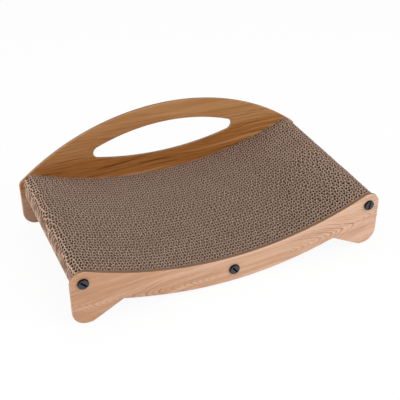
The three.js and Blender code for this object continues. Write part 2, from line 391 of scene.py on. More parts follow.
def growth_lines(tree, given, along, level, grain):
    """Growth lines: round tips nested along the flame, with arms that run back from each."""
    axis = times_plus(tree, times(tree, along, along), given["Flame Bend"], given["Flame Z"])
    across = minus(tree, level, axis)
    distance = rounded(tree, along, Wood.tip_round)
    reach = times_plus(tree, rounded(tree, across, Wood.arm_round), given["Arm Slope"], distance)
    reach = maths(tree, "DIVIDE", reach, given["Tip Pitch"])
    jag = noise_about_zero(tree, grain, Wood.jags, detail=3.0, roughness=0.6)
    reach = times_plus(tree, jag, Wood.jag_share, reach)
    ring = maths(tree, "FRACT", reach)
    line = times(tree, span(tree, ring, low=0.3, high=0.85), fade(tree, ring, low=0.9, high=1.0))
    year = maths(tree, "FLOOR", reach)
    tone = put(tree, "ShaderNodeTexWhiteNoise", {"W": year}, noise_dimensions="1D").outputs["Value"]
    line = times(tree, line, times_plus(tree, tone, 1.0 - Wood.faintest_line, Wood.faintest_line))
    patchy = span(tree, noise(tree, grain, Wood.patches), low=0.36, high=0.58, to_low=0.6)
    line = times(tree, line, patchy)
    edge = given["Flame Reach"]
    flame = fade(tree, without_sign(tree, across), times(tree, edge, Wood.full_flame), edge)
    line = times(tree, line, flame)
    return times(tree, line, span(tree, distance, low=30.0, high=90.0, to_low=0.15))


def wood_tones(tree, given, from_middle, level, grain):
    """Broad bands, a low band of heartwood and painted shade, and sapwood low at the ends. Gives their
    colour and the band's mask.
    """
    bands = span(tree, noise(tree, grain, Wood.bands, detail=3.0, roughness=0.6), low=0.35, high=0.65)
    # Painted light: the tone drifts along X, darker to the left and paler to the right
    tone = times_plus(tree, from_middle, given["Drift"], bands, clamp=True)
    shade = blend_colours(tree, tone, given["Pale"], given["Body"])
    past_sap = minus(tree, without_sign(tree, from_middle), given["Sap From"])
    low_down = span(tree, level, low=38.0, high=66.0, to_low=1.0, to_high=0.1)
    sap = times(tree, span(tree, past_sap, low=0.0, high=10.0), low_down)
    # Painted shade: the inner print darkens below the band's top, over the strips, partly as heartwood
    under = fade(tree, minus(tree, level, given["Heart Top"]), low=-6.0, high=4.0)
    heart_and_shade = times(tree, under, minus(tree, 1.0, sap))
    shade = blend_colours(tree, heart_and_shade, shade, given["Heart"])
    return blend_colours(tree, sap, shade, given["Sap"]), heart_and_shade


def wood_print_group():
    """Printed wood along X, with painted light across it: growth lines, a low band of heartwood and painted
    shade, streaks, fibres and pores.
    """
    name = "wood print"
    if name in bpy.data.node_groups:
        return bpy.data.node_groups[name]
    inputs = [("Place", VECTOR, (0, 0, 0))]
    inputs += [(label, COLOUR, WHITE) for label in PRINT_COLOURS]
    inputs += [(label, FLOAT, value) for label, value in OUTER_PRINT.items()]
    outputs = [("Color", COLOUR), ("Height", FLOAT), ("Gloss Break", FLOAT)]
    tree, given, result = new_group(name, inputs, outputs)
    place = in_millimetres(tree, given["Place"])
    from_middle, _, height = put(tree, "ShaderNodeSeparateXYZ", {0: place}).outputs
    along = minus(tree, from_middle, given["Flame X"])
    meander = noise_about_zero(tree, place, Wood.meander, detail=1.0)
    level = times_plus(tree, meander, given["Wobble"], height)
    level = minus(tree, level, times(tree, along, given["Flame Lean"]))
    on_roll = maths(tree, "ADD", from_middle, given["Roll Place"])
    grain = put(tree, "ShaderNodeCombineXYZ", {0: on_roll, 2: level}).outputs[0]
    line = growth_lines(tree, given, along, level, grain)
    shade, heart_and_shade = wood_tones(tree, given, from_middle, level, grain)
    # Growth lines, and dark streaks that are strongest in the low band of heartwood and painted shade
    streak = span(tree, noise(tree, grain, Wood.streaks, detail=4.0, roughness=0.7), low=0.52, high=0.6)
    streak = times(tree, streak, given["Streak Share"])
    streak = times(tree, streak, times_plus(tree, heart_and_shade, 1.0 - Wood.plain_streak, Wood.plain_streak))
    dark = times_plus(tree, line, given["Line Share"], streak, clamp=True)
    shade = blend_colours(tree, dark, shade, given["Line"])
    # Pale gleams in the low band of heartwood and painted shade
    gleam = span(tree, noise(tree, grain, Wood.gleams), low=0.55, high=0.68)
    gleam = times(tree, times(tree, gleam, heart_and_shade), given["Streak Share"])
    shade = blend_colours(tree, gleam, shade, given["Pale"])
    # Fine fibres and pores all over
    fibre = noise(tree, grain, Wood.fibres, detail=4.0, roughness=0.65)
    fibre_tone = times_plus(tree, fibre, Wood.fibre_tone, Wood.darkest_fibre)
    shade = blend_colours(tree, 1.0, shade, fibre_tone, "MULTIPLY")
    pore = span(tree, noise(tree, grain, Wood.pores), low=0.66, high=0.74)
    shade = blend_colours(tree, times(tree, pore, Wood.pore_tone), shade, given["Line"])
    relief = minus(tree, fibre, times(tree, pore, Wood.pore_depth))
    feed(tree, result, {"Color": shade, "Height": relief, "Gloss Break": fibre})
    return tree


def fibre_group():
    """Paper and fibreboard: short fibres and specks in two tones."""
    name = "pressed fibre"
    if name in bpy.data.node_groups:
        return bpy.data.node_groups[name]
    tree, given, result = new_group(name, [
        ("Place", VECTOR, (0, 0, 0)),
        ("Light", COLOUR, WHITE),
        ("Dark", COLOUR, WHITE),
        ("Speck Share", FLOAT, 0.5),
    ], [("Color", COLOUR), ("Height", FLOAT)])
    place = in_millimetres(tree, given["Place"])
    fine = noise(tree, place, stretch=(1.4, 1.4, 1.4), detail=3.0, roughness=0.6)
    specks = times(tree, span(tree, fine, low=0.35, high=0.7), given["Speck Share"])
    broad = noise(tree, place, stretch=(0.03, 0.05, 0.03))
    clouds = span(tree, broad, low=0.35, high=0.7, to_low=-0.12, to_high=0.2)
    tone = maths(tree, "ADD", specks, clouds, clamp=True)
    shade = blend_colours(tree, tone, given["Light"], given["Dark"])
    feed(tree, result, {"Color": shade, "Height": fine})
    return tree


def new_material(name):
    """A material with an empty tree, its Principled shader and the object's own coordinates."""
    material = bpy.data.materials.new(name)
    material.use_nodes = True
    tree = material.node_tree
    tree.nodes.clear()
    shader = tree.nodes.new("ShaderNodeBsdfPrincipled")
    put(tree, "ShaderNodeOutputMaterial", {"Surface": shader.outputs[0]})
    place = tree.nodes.new("ShaderNodeTexCoord").outputs["Object"]
    return material, tree, shader, place


def bumped(tree, shader, height, strength, distance):
    """Feeds a height to the shader's normal."""
    bump = put(tree, "ShaderNodeBump", {"Height": height, "Strength": strength, "Distance": distance})
    feed(tree, shader, {"Normal": bump.outputs[0]})


def print_material(name, colours, grain_values):
    """A satin wood print on board."""
    material, tree, shader, place = new_material(name)
    inputs = {"Place": place, **dict(zip(PRINT_COLOURS, colours)), **grain_values}
    grain = put(tree, "ShaderNodeGroup", inputs, node_tree=wood_print_group()).outputs
    rough = span(tree, grain["Gloss Break"], low=0.3, high=0.7, to_low=0.46, to_high=0.6)
    feed(tree, shader, {"Base Color": grain["Color"], "Roughness": rough, "Specular IOR Level": 0.35})
    bumped(tree, shader, grain["Height"], strength=0.25, distance=0.0002)
    return material


def fibre_material(name, light, dark, specks, roughness):
    """Raw pressed fibre: the panels' cut edges, or paper. Gives what a new material gives."""
    material, tree, shader, place = new_material(name)
    inputs = {"Place": place, "Light": light, "Dark": dark, "Speck Share": specks}
    fibre = put(tree, "ShaderNodeGroup", inputs, node_tree=fibre_group()).outputs
    feed(tree, shader, {"Base Color": fibre["Color"], "Roughness": roughness, "Specular IOR Level": 0.2})
    bumped(tree, shader, fibre["Height"], strength=0.4, distance=0.0002)
    return material, tree, shader, place


UNDER_TOP = "under_top"
OVER_BOTTOM = "over_bottom"


def painted_shade_depth(tree, place, profile, strips):
    """How deep a place lies in the block: under its cut top, over its underside and in from its ends. It
    masks the painted shade.
    """
    under_top = put(tree, "ShaderNodeAttribute", attribute_name=UNDER_TOP).outputs["Fac"]
    over_bottom = put(tree, "ShaderNodeAttribute", attribute_name=OVER_BOTTOM).outputs["Fac"]
    along = put(tree, "ShaderNodeSeparateXYZ", {0: place}).outputs[0]
    from_end = times(tree, minus(tree, profile.end, without_sign(tree, along)), strips.end_shade_share)
    return maths(tree, "MINIMUM", maths(tree, "MINIMUM", under_top, over_bottom), from_end)


def paper_material(finish, profile, strips):
    """Kraft paper, pale where it is cut and darker down in the flutes: painted shade, with some of the
    paper's own darker face.
    """
    material, tree, shader, place = fibre_material(
        "kraft paper with painted shade", finish.kraft, finish.kraft_dark, strips.speck_share, roughness=0.9)
    depth = painted_shade_depth(tree, place, profile, strips)
    paper = shader.inputs["Base Color"].links[0].from_socket
    # Painted shade: the pale cut fades into the shaded wall, which darkens into the painted dark deep in the
    # flutes
    wall = blend_colours(tree, span(tree, depth, 0.0, strips.rim_depth), paper, finish.flute_wall_with_shade)
    shade = span(tree, depth, strips.shade_start_depth, strips.shade_full_depth)
    deep = blend_colours(tree, shade, wall, finish.flute_painted_shade)
    feed(tree, shader, {"Base Color": deep})
    return material


# How much paler and rougher scuffed plastic is
SCUFF_PALER = 1.6
SCUFF_ROUGHER = 0.12


def plastic_material(name, base, roughness, gloss=0.5):
    """Moulded plastic with a fine sparked texture and faint scuffs."""
    material, tree, shader, place = new_material(name)
    place = in_millimetres(tree, place)
    spark = noise(tree, place, stretch=(4.0, 4.0, 4.0))
    rubbed = noise(tree, place, stretch=(0.5, 0.5, 0.5), detail=4.0, roughness=0.65)
    scuff = span(tree, rubbed, low=0.5, high=0.75)
    paler = [min(1.0, channel * SCUFF_PALER) for channel in base[:3]]
    shade = blend_colours(tree, scuff, tuple(base), (*paler, 1.0))
    rough = times_plus(tree, scuff, SCUFF_ROUGHER, roughness)
    feed(tree, shader, {"Base Color": shade, "Roughness": rough, "Specular IOR Level": gloss})
    bumped(tree, shader, spark, strength=0.15, distance=0.0001)
    return material


# Pieces

def add_object(name, data):
    """An object in the scene, at the origin."""
    made = bpy.data.objects.new(name, data)
    bpy.context.scene.collection.objects.link(made)
    return made


def mesh_object(mesh, name, materials):
    """An object from a bmesh and its materials."""
    data = bpy.data.meshes.new(name)
    mesh.to_mesh(data)
    mesh.free()
    for material in materials:
        data.materials.append(material)
    return add_object(name, data)


def finish_piece(mesh, name, materials, node):
    """Makes a bmesh a piece that rides on the body and stands for a CAD node."""
    piece = mesh_object(mesh, name, materials)
    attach(piece, BODY)
    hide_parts(node)


def middle_of(node):
    """Middle of a CAD node's box."""
    low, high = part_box(node)
    return (low + high) / 2


def with_borders(faces):
    """Faces with their edges and points, for a cut."""
    return list({item for face in faces for item in (face, *face.edges, *face.verts)})


def round_edges(mesh, edges, radius, steps):
    """Rounds sharp edges off."""
    bmesh.ops.bevel(mesh, geom=edges, offset=radius, offset_type="OFFSET", affect="EDGES", segments=steps,
                    profile=0.5, material=-1)


class Circle(NamedTuple):
    """A circle in the X-Z plane."""

    x: float
    z: float
    radius: float

    def towards(self, other):
        """Angle of the line from this centre to another's."""
        return math.atan2(other.z - self.z, other.x - self.x)

    def touch(self, other):
        """Where this circle meets one that touches it, along X."""
        return self.x + self.radius * math.cos(self.towards(other))

    def below(self, x):
        """Height of the lower half at x."""
        return self.z - math.sqrt(self.radius ** 2 - (x - self.x) ** 2)

    def above(self, x):
        """Height of the upper half at x."""
        return self.z + math.sqrt(self.radius ** 2 - (x - self.x) ** 2)


class Outline:
    """An edge chain in the X-Z plane, drawn one line or arc at a time."""

    def __init__(self, mesh, x, z, sizes):
        self.mesh = mesh
        self.sizes = sizes
        self.first = bmesh.ops.create_vert(mesh, co=(x, 0, z))["vert"][0]
        self.tip = self.first

    def line(self, x, z):
        """A straight stretch to a point."""
        made = bmesh.ops.extrude_vert_indiv(self.mesh, verts=[self.tip])
        self.tip = made["verts"][0]
        self.tip.co = (x, 0, z)

    def arc(self, circle, turn):
        """A round stretch about a circle's centre, anticlockwise seen from the front."""
        by_length = abs(turn) * circle.radius / self.sizes.arc_step
        by_turn = abs(turn) / self.sizes.turn_step
        made = bmesh.ops.spin(
            self.mesh, geom=[self.tip], cent=(circle.x, 0, circle.z), axis=(0, -1, 0), angle=turn,
            steps=math.ceil(max(by_length, by_turn)))
        self.tip = next(item for item in made["geom_last"] if isinstance(item, bmesh.types.BMVert))

    def close(self):
        """Joins the ends, and fills the outline with one face."""
        self.mesh.edges.new((self.tip, self.first))
        return bmesh.ops.contextual_create(self.mesh, geom=self.mesh.edges[:])["faces"]


UP = math.pi / 2
HALF_LENGTH = FRONT_HIGH.x
TINY = 1e-6


def arc_radius(rise):
    """Radius of an arc over the board's whole length, from its rise."""
    return (HALF_LENGTH ** 2 + rise ** 2) / (2 * rise)


def sagging_arc(lowest, rise):
    """Circle of an edge that is lowest at the middle and climbs to the ends."""
    radius = arc_radius(rise)
    return Circle(0, lowest + radius, radius)


def dip_circle(sizes):
    """Circle of the front panel's top edge."""
    return sagging_arc(sizes.dip_height, sizes.dip_rise)


def belly_circle(sizes):
    """Circle of the panels' lower edge."""
    return sagging_arc(sizes.belly_clearance, sizes.belly_rise)


def corner_under(arc, end, radius):
    """Round corner between an upright end and an arc above it."""
    x = end - radius
    return Circle(x, arc.z - math.sqrt((arc.radius + radius) ** 2 - x ** 2), radius)


def corner_inside(arc, end, radius, side):
    """Round corner between an upright end and an arc that the corner lies inside."""
    x = end - radius
    return Circle(x, arc.z + side * math.sqrt((arc.radius - radius) ** 2 - x ** 2), radius)


def draw_lower_edge(outline, sizes):
    """Right half of the panels' lower edge, from the middle of the belly to the foot's outer corner."""
    belly = belly_circle(sizes)
    slope = sizes.foot_slope
    heel = Circle(HALF_LENGTH - sizes.foot_corner, sizes.foot_corner, sizes.foot_corner)
    toe = Circle(heel.x - sizes.foot_flat, sizes.foot_toe, sizes.foot_toe)
    leg_start = toe.x - toe.radius * math.tan(slope / 2)
    # The notch's circle touches the leg's line from below and the belly's arc from outside
    along = Vector((-math.cos(slope), math.sin(slope)))
    below = Vector((-math.sin(slope), -math.cos(slope)))
    start = Vector((leg_start, -belly.z)) + below * sizes.notch
    towards = start.dot(along)
    apart = belly.radius + sizes.notch
    run = -towards - math.sqrt(towards ** 2 - start.length_squared + apart ** 2)
    centre = start + along * run
    notch = Circle(centre.x, centre.y + belly.z, sizes.notch)
    outline.arc(belly, belly.towards(notch) + UP)
    outline.arc(notch, UP - slope - notch.towards(belly))
    leg_foot = toe.x - toe.radius * math.sin(slope)
    outline.line(leg_foot, toe.z - toe.radius * math.cos(slope))
    outline.arc(toe, slope)
    outline.line(heel.x, 0)
    outline.arc(heel, UP)


def draw_front_top(outline, sizes):
    """Right half of the front panel's top edge, from the end to the middle."""
    dip = dip_circle(sizes)
    corner = corner_under(dip, HALF_LENGTH, sizes.end_corner)
    outline.line(HALF_LENGTH, corner.z)
    outline.arc(corner, corner.towards(dip))
    outline.arc(dip, -UP - dip.towards(corner))


def draw_arch(outline, sizes):
    """Right half of the rear panel's arch, from the end to the middle."""
    radius = arc_radius(sizes.arch_drop)
    arch = Circle(0, REAR_HIGH.z - radius, radius)
    shoulder = corner_inside(arch, HALF_LENGTH, sizes.shoulder, 1)
    outline.line(HALF_LENGTH, shoulder.z)
    outline.arc(shoulder, arch.towards(shoulder))
    outline.arc(arch, UP - arch.towards(shoulder))


def draw_grip(outline, sizes):
    """Right half of the hand grip, from its top to its bottom."""
    top_edge = REAR_HIGH.z - sizes.grip_margin
    bottom_edge = top_edge - sizes.grip_height
    top = Circle(0, top_edge - sizes.grip_top, sizes.grip_top)
    bottom = Circle(0, bottom_edge + sizes.grip_bottom, sizes.grip_bottom)
    from_top = top.radius - sizes.grip_end
    from_bottom = bottom.radius - sizes.grip_end
    apart = bottom.z - top.z
    level = (from_top ** 2 - from_bottom ** 2 + apart ** 2) / (2 * apart)
    end = Circle(math.sqrt(from_top ** 2 - level ** 2), top.z + level, sizes.grip_end)
    outline.line(0, top_edge)
    outline.arc(top, top.towards(end) - UP)
    outline.arc(end, bottom.towards(end) - top.towards(end))
    outline.arc(bottom, -UP - bottom.towards(end))


def draw_rear_top(outline, sizes):
    """Right half of the rear panel's top edge, and of the hand grip on the way down its middle line."""
    draw_arch(outline, sizes)
    draw_grip(outline, sizes)


def draw_middle_hole(outline, sizes):
    """Right half of the middle screw hole, on the way down the panel's middle line."""
    centre = middle_of("tie_tube_middle")
    outline.line(0, centre.z + sizes.screw_hole)
    outline.arc(Circle(0, centre.z, sizes.screw_hole), -2 * UP)


# Least lean of a panel's flat faces towards Y
FLAT = 0.999
# Turn from which an edge of a panel is rounded, in radians
SHARP_TURN = 1.0


def is_face_of_panel(face):
    """True for the flat front or back of a panel."""
    return abs(face.normal.y) > FLAT


def open_end_hole(mesh, sizes):
    """Cuts the right-hand screw hole through both faces of the half panel."""
    centre = middle_of("tie_tube_right")
    rings = []
    for face in [item for item in mesh.faces if is_face_of_panel(item)]:
        rim = face.edges[:]
        place = Vector((centre.x, face.verts[0].co.y, centre.z))
        turn = Matrix.Translation(place) @ Matrix.Rotation(UP, 4, "X")
        made = bmesh.ops.create_circle(mesh, segments=sizes.hole_sides, radius=sizes.screw_hole, matrix=turn)
        ring = list({edge for vert in made["verts"] for edge in vert.link_edges})
        facing = face.normal.copy()
        bmesh.ops.delete(mesh, geom=[face], context="FACES_ONLY")
        bmesh.ops.triangle_fill(mesh, edges=rim + ring, use_beauty=True, normal=facing)
        rings += ring
    bmesh.ops.bridge_loops(mesh, edges=rings)


def panel_mesh(sizes, draw_top, low, high):
    """A panel from its outline: the right half is drawn, thickened, rounded and drilled, then mirrored."""
    mesh = bmesh.new()
    outline = Outline(mesh, 0, sizes.belly_clearance, sizes)
    draw_lower_edge(outline, sizes)
    draw_top(outline, sizes)
    draw_middle_hole(outline, sizes)
    faces = outline.close()
    made = bmesh.ops.extrude_face_region(mesh, geom=faces)["geom"]
    moved = [item for item in made if isinstance(item, bmesh.types.BMVert)]
    bmesh.ops.translate(mesh, verts=moved, vec=(0, high.y - low.y, 0))
    bmesh.ops.translate(mesh, verts=mesh.verts[:], vec=(0, low.y, 0))
    middle = [face for face in mesh.faces if all(abs(vert.co.x) < TINY for vert in face.verts)]
    bmesh.ops.delete(mesh, geom=middle, context="FACES_ONLY")
    loose = [edge for edge in mesh.edges if not edge.link_faces]
    bmesh.ops.delete(mesh, geom=loose, context="EDGES")
    bmesh.ops.recalc_face_normals(mesh, faces=mesh.faces[:])
    closed = [edge for edge in mesh.edges if len(edge.link_faces) == 2]
    rim = [edge for edge in closed if edge.calc_face_angle() > SHARP_TURN]
    round_edges(mesh, rim, sizes.edge_round, sizes.edge_steps)
    open_end_hole(mesh, sizes)
    everything = mesh.verts[:] + mesh.edges[:] + mesh.faces[:]
    bmesh.ops.mirror(mesh, geom=everything, axis="X", merge_dist=TINY)
    bmesh.ops.recalc_face_normals(mesh, faces=mesh.faces[:])
    return mesh


FRONT_SKIN, BACK_SKIN, CUT_EDGE = range(3)
# Lean of a rounded edge up to which the print wraps round it
WRAP = 0.3


def skin_panel(mesh):
    """Gives a panel's faces their materials, and smooths its round edges."""
    for face in mesh.faces:
        if face.normal.y < -WRAP:
            face.material_index = FRONT_SKIN
        elif face.normal.y > WRAP:
            face.material_index = BACK_SKIN
        else:
            face.material_index = CUT_EDGE
        face.smooth = not is_face_of_panel(face)


def panel_materials(finish):
    """Outer print, inner print and cut edge, made once for both panels."""
    known = bpy.data.materials
    if "outer wood print" not in known:
        outer = (finish.oak_pale, finish.oak_body, finish.oak_line, finish.oak_body, finish.oak_body)
        print_material("outer wood print", outer, OUTER_PRINT)
        inner = (finish.inner_pale, finish.inner_body, finish.inner_line, finish.inner_heart_and_shade,
                 finish.inner_sap)
        print_material("inner wood print", inner, INNER_PRINT)
        fibre_material("panel cut edge", finish.edge_board, finish.edge_dark, specks=0.5, roughness=0.8)
    return known["outer wood print"], known["inner wood print"], known["panel cut edge"]


class SCRATCHER_OT_front_panel(bpy.types.Operator):
    """Makes the low front panel with its dished top edge"""

    bl_idname = "scratcher.front_panel"
    bl_label = "Front Panel"

    def execute(self, context):
        mesh = panel_mesh(context.scene.scratcher_panels, draw_front_top, FRONT_LOW, FRONT_HIGH)
        skin_panel(mesh)
        outer, inner, cut = panel_materials(context.scene.scratcher_finish)
        finish_piece(mesh, "front_board", (outer, inner, cut), "front_panel")
        return {"FINISHED"}


class SCRATCHER_OT_rear_panel(bpy.types.Operator):
    """Makes the tall rear panel with its arch and hand grip"""

    bl_idname = "scratcher.rear_panel"
    bl_label = "Rear Panel"

    def execute(self, context):
        mesh = panel_mesh(context.scene.scratcher_panels, draw_rear_top, REAR_LOW, REAR_HIGH)
        skin_panel(mesh)
        outer, inner, cut = panel_materials(context.scene.scratcher_finish)
        finish_piece(mesh, "rear_board", (inner, outer, cut), "rear_panel")
        return {"FINISHED"}


class StripProfile:
    """Top and bottom of a strip along X, with its round ends."""

    def __init__(self, panels, strips):
        dip = dip_circle(panels)
        belly = belly_circle(panels)
        self.end = STRIP_END
        self.top = Circle(0, dip.z, dip.radius - strips.top_proud)
        self.bottom = Circle(0, belly.z, belly.radius - strips.bottom_lift)
        self.upper = corner_under(self.top, self.end, strips.corner)
        self.lower = corner_inside(self.bottom, self.end, strips.corner, -1)
        self.upper_touch = self.top.touch(self.upper)
        self.lower_touch = self.bottom.touch(self.lower)

    def heights(self, x):
        """Lowest and highest point at x."""
        reach = min(abs(x), self.end)
        high = self.top.below(reach) if reach < self.upper_touch else self.upper.above(reach)
        low = self.bottom.below(reach) if reach < self.lower_touch else self.lower.below(reach)
        return low, high


def lerp(first, second, share):
    """A value between two others."""
    return first + (second - first) * share


def reaches(face, x, radius):
    """True for a face that comes within a radius of x, along X."""
    places = [vert.co.x - x for vert in face.verts]
    return min(places) < radius and max(places) > -radius


def punch_holes(mesh, sheet, thickness, sizes):
    """Opens the holes for the tie tubes in a sheet of paper, and gives the faces that are left."""
    others = set(mesh.faces).difference(sheet)
    # Points this near to a cut count as on it, which leaves no slivers
    snap = sizes.liner / 4
    for name in TUBE_NODES:
        low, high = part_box(name)
        centre = (low + high) / 2
        radius = (high.z - low.z) / 2 + sizes.punch_gap + thickness / 2
        inside = [face for face in mesh.faces if face not in others and reaches(face, centre.x, radius)]
        for step in range(sizes.punch_sides):
            turn = 2 * math.pi * step / sizes.punch_sides
            outwards = Vector((math.cos(turn), 0, math.sin(turn)))
            side = centre + outwards * radius
            made = bmesh.ops.bisect_plane(
                mesh, geom=with_borders(inside), dist=snap, plane_co=side, plane_no=outwards)["geom"]
            faces = [item for item in made if isinstance(item, bmesh.types.BMFace)]
            inside = [face for face in faces if (face.calc_center_median() - side).dot(outwards) < 0]
        bmesh.ops.delete(mesh, geom=inside, context="FACES")
    return [face for face in mesh.faces if face not in others]


def paper_band(mesh, columns, thickness, place, punched=None):
    """A standing band of paper, punched where settings for that are given.

    Place gives its lower and upper edge for a share along it.
    """
    under_top = mesh.verts.layers.float[UNDER_TOP]
    over_bottom = mesh.verts.layers.float[OVER_BOTTOM]
    made = bmesh.ops.create_grid(mesh, x_segments=columns, y_segments=1, size=0.5)["verts"]
    for vert in made:
        lower, upper = place(vert.co.x + 0.5)
        is_upper = vert.co.y > 0
        vert.co = upper if is_upper else lower
        vert[under_top] = upper.z - vert.co.z
        vert[over_bottom] = vert.co.z - lower.z
    faces = list({face for vert in made for face in vert.link_faces})
    bmesh.ops.recalc_face_normals(mesh, faces=faces)
    mesh.normal_update()
    for vert in made:
        vert.co -= vert.normal * thickness / 2
    if punched:
        faces = punch_holes(mesh, faces, thickness, punched)
    bmesh.ops.solidify(mesh, geom=faces, thickness=-thickness)


# Turns of the tears in one turn of the recesses, so that the two don't go together
TEAR_TURNS = 3


def strip_mesh(profile, sizes, low, high, phase, draw):
    """One corrugated strip on edge: two flat liners, a fluted medium, and a torn flute at each end."""
    mesh = bmesh.new()
    for name in (UNDER_TOP, OVER_BOTTOM):
        mesh.verts.layers.float.new(name)
    lift = draw.uniform(-sizes.ragged, sizes.ragged)
    drift = draw.uniform(0, 2 * math.pi)
    drift_length = draw.uniform(sizes.wander_short, sizes.wander_long)
    swing = (high.y - low.y) / 2 - sizes.liner - sizes.medium / 2 + sizes.press
    middle = (low.y + high.y) / 2
    # The last flutes stand back from the ends, and the waves stop short of them
    crest = profile.end - sizes.medium / 2 - sizes.end_recess * (1 + math.sin(drift)) / 2
    reach = crest - sizes.medium
    tear = sizes.end_tear * (1 + math.sin(TEAR_TURNS * drift))
    waves = 2 * profile.end / sizes.flute
    half_waves = math.ceil(2 * waves)
    pushes = [draw.gauss(0, sizes.crush) for _ in range(half_waves + 1)]

    def at(x, y):
        bottom, top = profile.heights(x)
        return Vector((x, y, bottom)), Vector((x, y, top + lift))

    def liner_at(y):
        return lambda share: at(profile.end * math.sin(UP * (2 * share - 1)), y)

    def medium_at(share):
        x = (2 * share - 1) * reach
        before = min(int(share * half_waves), half_waves - 1)
        push = lerp(pushes[before], pushes[before + 1], share * half_waves - before)
        push += sizes.wander * math.sin(x / drift_length + drift)
        wave = 2 * math.pi * (x + push) / sizes.flute + phase
        share_out = math.tanh(sizes.steepness * math.sin(wave)) / math.tanh(sizes.steepness)
        return at(x, middle + swing * share_out)

    def rib_at(side):
        def place(share):
            x = crest - sizes.end_rib * (1 - math.sin(math.pi * share))
            bottom, top = at(side * x, lerp(low.y + sizes.liner, high.y - sizes.liner, share))
            return bottom, top - Vector((0, 0, tear))
        return place

    paper_band(mesh, sizes.liner_points, sizes.liner, liner_at(low.y + sizes.liner / 2), sizes)
    paper_band(mesh, sizes.liner_points, sizes.liner, liner_at(high.y - sizes.liner / 2), sizes)
    paper_band(mesh, round(waves * sizes.wave_points), sizes.medium, medium_at, sizes)
    for side in (-1, 1):
        paper_band(mesh, sizes.rib_points, sizes.medium, rib_at(side))
    return mesh


class SCRATCHER_OT_strips(bpy.types.Operator):
    """Makes the corrugated strips that are glued into the scratching block"""

    bl_idname = "scratcher.strips"
    bl_label = "Corrugated Strips"

    def execute(self, context):
        sizes = context.scene.scratcher_strips
        finish = context.scene.scratcher_finish
        profile = StripProfile(context.scene.scratcher_panels, sizes)
        paper = paper_material(finish, profile, sizes)
        draw = random.Random(sizes.seed)
        phase = 0.0
        for node in STRIP_NODES:
            is_fresh = draw.random() < sizes.fresh_share
            phase = draw.uniform(0, 2 * math.pi) if is_fresh else phase + draw.gauss(0, sizes.slip)
            mesh = strip_mesh(profile, sizes, *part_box(node), phase, draw)
            name = node.replace("cardboard", "corrugated")
            finish_piece(mesh, name, (paper,), node)
        return {"FINISHED"}


def is_on_top(item, sizes):
    """True for a face or an edge that lies flat on top of the screw's head."""
    return all(vert.co.z > sizes.head_height - TINY for vert in item.verts)


def screw_mesh(sizes, shank_length):
    """A screw along -Z without its slot, with the underside of its head at 0."""
    mesh = bmesh.new()
    head = sizes.head / 2
    shank = sizes.shank / 2
    profile = (
        (0, -shank_length),
        (shank - sizes.shank_tip, -shank_length),
        (shank, sizes.shank_tip - shank_length),
        (shank, 0),
        (head, 0),
        (head, sizes.head_height),
        (0, sizes.head_height),
    )
    chain = [bmesh.ops.create_vert(mesh, co=(x, 0, z))["vert"][0] for x, z in profile]
    for first, second in zip(chain, chain[1:]):
        mesh.edges.new((first, second))
    bmesh.ops.spin(mesh, geom=mesh.verts[:] + mesh.edges[:], axis=(0, 0, 1), cent=(0, 0, 0),
                   angle=2 * math.pi, steps=sizes.turn_count, use_merge=True)
    bmesh.ops.remove_doubles(mesh, verts=mesh.verts[:], dist=TINY)
    bmesh.ops.recalc_face_normals(mesh, faces=mesh.faces[:])
    fan = [face for face in mesh.faces if is_on_top(face, sizes)]
    bmesh.ops.dissolve_faces(mesh, faces=fan)
    rim = [edge for edge in mesh.edges if is_on_top(edge, sizes)]
    round_edges(mesh, rim, sizes.head_round, sizes.head_steps)
    return mesh


def cut_slot(mesh, sizes):
    """Sinks the coin slot into the top of the head, along X, with a round floor that rises to its ends."""
    half = sizes.slot_length / 2
    level = Vector((0, 0, sizes.head_height))
    cuts = [(Vector((0, side * sizes.slot_width / 2, 0)), Vector((0, 1, 0))) for side in (-1, 1)]
    steps = range(-sizes.slot_steps, sizes.slot_steps + 1)
    cuts += [(Vector((half * step / sizes.slot_steps, 0, 0)), Vector((1, 0, 0))) for step in steps]
    for place, normal in cuts:
        top = [face for face in mesh.faces if is_on_top(face, sizes)]
        bmesh.ops.bisect_plane(mesh, geom=with_borders(top), plane_co=level + place, plane_no=normal)
    slot = []
    for face in mesh.faces:
        middle = face.calc_center_bounds()
        if is_on_top(face, sizes) and abs(middle.x) < half and abs(middle.y) < sizes.slot_width / 2:
            slot.append(face)
    made = bmesh.ops.extrude_face_region(mesh, geom=slot)["geom"]
    bmesh.ops.delete(mesh, geom=slot, context="FACES")
    for vert in made:
        if isinstance(vert, bmesh.types.BMVert):
            vert.co.z -= sizes.slot_depth * (1 - (vert.co.x / half) ** 2)
    bmesh.ops.remove_doubles(mesh, verts=mesh.verts[:], dist=TINY)


MOULDED, FACE_PAINTED_SHEEN, SLOT_PAINTED_SHADE = range(3)


def screw_finish(face, sizes):
    """Which of the screw's materials a face takes."""
    if is_on_top(face, sizes):
        return FACE_PAINTED_SHEEN
    in_slot = all(vert.co.z > 0 and abs(vert.co.y) < sizes.slot_width / 2 + TINY for vert in face.verts)
    inside = all(abs(vert.co.x) < sizes.slot_length / 2 + TINY for vert in face.verts)
    return SLOT_PAINTED_SHADE if in_slot and inside else MOULDED


# Turn up to which an edge of a screw counts as round
ROUND_TURN = math.radians(35)


def smooth_rounds(mesh):
    """Smooth shading, with the edges that turn more than a round one kept sharp."""
    for face in mesh.faces:
        face.smooth = True
    for edge in mesh.edges:
        edge.smooth = len(edge.link_faces) == 2 and edge.calc_face_angle() < ROUND_TURN


